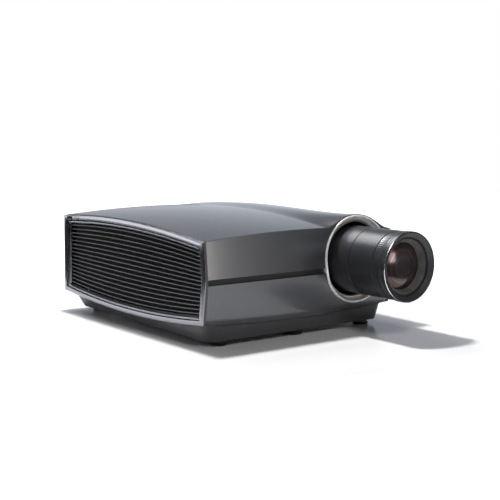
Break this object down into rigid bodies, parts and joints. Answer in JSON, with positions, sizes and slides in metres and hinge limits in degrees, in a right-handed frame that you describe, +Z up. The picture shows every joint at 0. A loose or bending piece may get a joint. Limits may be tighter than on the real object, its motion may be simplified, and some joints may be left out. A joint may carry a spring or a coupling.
{
  "type": "home projector",
  "caption": "Wide cinema projector with a crowned grey cover, louvred side grilles, a shiftable lens in a bright ring and screw feet.",
  "frame": {"origin": "on the floor under the middle of the overall length and width", "axes": "+Z up, lens points along -Y, +X to the right of someone facing the lens"},
  "size_m": [0.482, 0.672, 0.234],
  "materials": {
    "gloss_grey": "gloss lacquer over dark metallic grey",
    "groove_black": "matt black",
    "frame_silver": "satin silver-grey lacquer",
    "bezel_silver": "satin silver-grey lacquer",
    "louvre_black": "satin black",
    "filter_foam": "open-cell foam",
    "tray_black": "fine moulded texture",
    "case_black": "fine moulded texture",
    "sheet_steel": "powder coat",
    "socket_metal": "stamped steel",
    "socket_black": "moulded",
    "button_black": "satin moulded",
    "screw_black": "black oxide",
    "foot_rubber": "matt rubber",
    "stem_steel": "zinc plated",
    "status_black": "tinted window",
    "indicator_lens": "smoked light pipe",
    "ring_nickel": "polished warm nickel",
    "liner_nickel": "satin nickel",
    "barrel_black": "satin black anodised look",
    "lens_glass": "coated optical glass",
    "carriage_alloy": "machined",
    "module_alloy": "bead blasted",
    "phosphor_disc": "phosphor coated disc",
    "board_green": "solder mask",
    "fan_black": "moulded"
  },
  "bodies": {
    "chassis": {"base_tray": "tray_black", "case_screws": "screw_black", "connector_plate": "sheet_steel", "dust_filter_left": "filter_foam", "dust_filter_right": "filter_foam", "engine_housing": "carriage_alloy", "fan_frame_left": "fan_black", "fan_frame_right": "fan_black", "fixed_feet": "foot_rubber", "front_groove_strip": "groove_black", "front_panel_lower": "gloss_grey", "front_panel_upper": "gloss_grey", "grille_bezel_left": "bezel_silver", "grille_bezel_right": "bezel_silver", "grille_louvres_left": "louvre_black", "grille_louvres_right": "louvre_black", "heatsink": "carriage_alloy", "imager_board": "board_green", "indicator_lights": "indicator_lens", "integrator_rod": "lens_glass", "keypad_plate": "case_black", "laser_module": "module_alloy", "lens_ring": "ring_nickel", "lens_ring_liner": "liner_nickel", "lens_tunnel": "sheet_steel", "main_board": "board_green", "network_sockets": "socket_black", "power_inlet": "socket_black", "power_supply": "module_alloy", "prism_block": "lens_glass", "rear_panel": "case_black", "shift_base_plate": "sheet_steel", "side_frame_left": "frame_silver", "side_frame_right": "frame_silver", "signal_sockets": "socket_metal", "status_window": "status_black", "switch_frame": "case_black", "top_cover": "gloss_grey", "wheel_motor": "module_alloy"},
    "vertical_shift": {"shift_vertical_carriage": "carriage_alloy"},
    "lens": {"shift_horizontal_carriage": "carriage_alloy", "lens_barrel": "barrel_black", "lens_hood": "barrel_black", "front_retainer": "barrel_black", "front_glass": "lens_glass", "rear_glass": "lens_glass"},
    "zoom": {"zoom_ring": "barrel_black"},
    "focus": {"focus_ring": "barrel_black"},
    "sole_left": {"foot_sole_left": "foot_rubber"},
    "stem_left": {"foot_stem_left": "stem_steel"},
    "sole_right": {"foot_sole_right": "foot_rubber"},
    "stem_right": {"foot_stem_right": "stem_steel"},
    "rocker": {"power_rocker": "socket_black"},
    "button_power": {"power_button": "button_black"},
    "button_source": {"source_button": "button_black"},
    "button_menu": {"menu_button": "button_black"},
    "button_enter": {"enter_button": "button_black"},
    "fan_left": {"fan_rotor_left": "fan_black"},
    "fan_right": {"fan_rotor_right": "fan_black"},
    "wheel": {"phosphor_wheel": "phosphor_disc"}
  },
  "joints": [
    {"name": "lens_shift_vertical", "type": "slide", "parent": "chassis", "child": "vertical_shift", "axis": [0, 0, 1], "range_m": [-0.004, 0.004]},
    {"name": "lens_shift_horizontal", "type": "slide", "parent": "vertical_shift", "child": "lens", "axis": [1, 0, 0], "range_m": [-0.003, 0.003]},
    {"name": "zoom_turn", "type": "hinge", "parent": "lens", "child": "zoom", "pos_m": [0.143, -0.266, 0.1415], "axis": [0, -1, 0], "range_deg": [-30, 30]},
    {"name": "focus_turn", "type": "hinge", "parent": "lens", "child": "focus", "pos_m": [0.143, -0.311, 0.1415], "axis": [0, -1, 0], "range_deg": [-60, 60]},
    {"name": "foot_left_travel", "type": "slide", "parent": "chassis", "child": "sole_left", "axis": [0, 0, -1], "range_m": [0, 0.012]},
    {"name": "foot_left_turn", "type": "hinge", "parent": "sole_left", "child": "stem_left", "pos_m": [-0.184, -0.158, 0.006], "axis": [0, 0, 1], "range_deg": [0, 2880]},
    {"name": "foot_right_travel", "type": "slide", "parent": "chassis", "child": "sole_right", "axis": [0, 0, -1], "range_m": [0, 0.012]},
    {"name": "foot_right_turn", "type": "hinge", "parent": "sole_right", "child": "stem_right", "pos_m": [0.184, -0.158, 0.006], "axis": [0, 0, 1], "range_deg": [0, 2880]},
    {"name": "power_rocker_tilt", "type": "hinge", "parent": "chassis", "child": "rocker", "pos_m": [0.204, 0.332, 0.092], "axis": [1, 0, 0], "range_deg": [-7, 7]},
    {"name": "power_press", "type": "slide", "parent": "chassis", "child": "button_power", "axis": [0, -1, 0], "range_m": [0, 0.0012], "stiffness_N_per_m": 600, "springref_m": -0.0003},
    {"name": "source_press", "type": "slide", "parent": "chassis", "child": "button_source", "axis": [0, -1, 0], "range_m": [0, 0.0012], "stiffness_N_per_m": 600, "springref_m": -0.0003},
    {"name": "menu_press", "type": "slide", "parent": "chassis", "child": "button_menu", "axis": [0, -1, 0], "range_m": [0, 0.0012], "stiffness_N_per_m": 600, "springref_m": -0.0003},
    {"name": "enter_press", "type": "slide", "parent": "chassis", "child": "button_enter", "axis": [0, -1, 0], "range_m": [0, 0.0012], "stiffness_N_per_m": 600, "springref_m": -0.0003},
    {"name": "fan_left_spin", "type": "hinge", "parent": "chassis", "child": "fan_left", "pos_m": [-0.2025, -0.03, 0.112], "axis": [1, 0, 0], "continuous": true},
    {"name": "fan_right_spin", "type": "hinge", "parent": "chassis", "child": "fan_right", "pos_m": [0.1985, 0.2, 0.112], "axis": [1, 0, 0], "continuous": true},
    {"name": "phosphor_wheel_spin", "type": "hinge", "parent": "chassis", "child": "wheel", "pos_m": [0.01, 0.03, 0.12], "axis": [0, 1, 0], "continuous": true}
  ],
  "couplings": [
    {"joint": "foot_left_turn", "follows": "foot_left_travel", "rad_per_m": 4188.8},
    {"joint": "foot_right_turn", "follows": "foot_right_travel", "rad_per_m": 4188.8}
  ]
}
